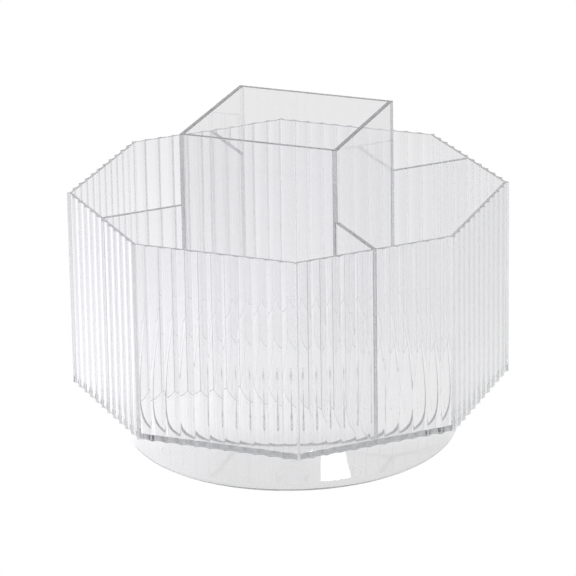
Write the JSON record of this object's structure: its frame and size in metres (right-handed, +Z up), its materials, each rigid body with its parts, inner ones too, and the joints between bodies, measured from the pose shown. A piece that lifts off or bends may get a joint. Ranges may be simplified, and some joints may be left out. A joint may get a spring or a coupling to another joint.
{
  "type": "rotating desk organizer",
  "caption": "Clear turntable desk organizer: fluted octagonal tub with a taller square cup, plain dividers and a round tapered base.",
  "frame": {"origin": "on the desk, on the turning axis, under the middle of the base", "axes": "+Z up along the turning axis; the cup's panels and four of the tub's walls face along X and Y; -Y is the front"},
  "size_m": [0.158, 0.158, 0.1305],
  "materials": {
    "fluted_panel": "clear, polished, fluted outside",
    "clear_sheet": "clear, polished sheet with sawn and polished edges",
    "clear_dish": "clear, polished moulding",
    "clear_turning": "clear, turned and polished",
    "steel": "bright turned steel",
    "nylon": "natural nylon",
    "foot_pad": "clear silicone, slightly hazy"
  },
  "bodies": {
    "base": {"base_dish": "clear_dish", "pivot_bush": "clear_turning", "thrust_washer": "clear_turning", "foot_1": "foot_pad", "foot_2": "foot_pad", "foot_3": "foot_pad", "foot_4": "foot_pad"},
    "tub": {"wall_panel_1": "fluted_panel", "wall_panel_2": "fluted_panel", "wall_panel_3": "fluted_panel", "wall_panel_4": "fluted_panel", "wall_panel_5": "fluted_panel", "wall_panel_6": "fluted_panel", "wall_panel_7": "fluted_panel", "wall_panel_8": "fluted_panel", "tub_floor": "clear_sheet", "cup_left": "clear_sheet", "cup_right": "clear_sheet", "cup_front": "clear_sheet", "cup_back": "clear_sheet", "divider_1": "clear_sheet", "divider_2": "clear_sheet", "divider_3": "clear_sheet", "divider_4": "clear_sheet", "pivot_hub": "clear_turning", "pivot_screw": "steel", "screw_washer": "nylon"}
  },
  "joints": [
    {"name": "tub_spin", "type": "hinge", "parent": "base", "child": "tub", "pos_m": [0, 0, 0.0235], "axis": [0, 0, 1], "continuous": true}
  ]
}
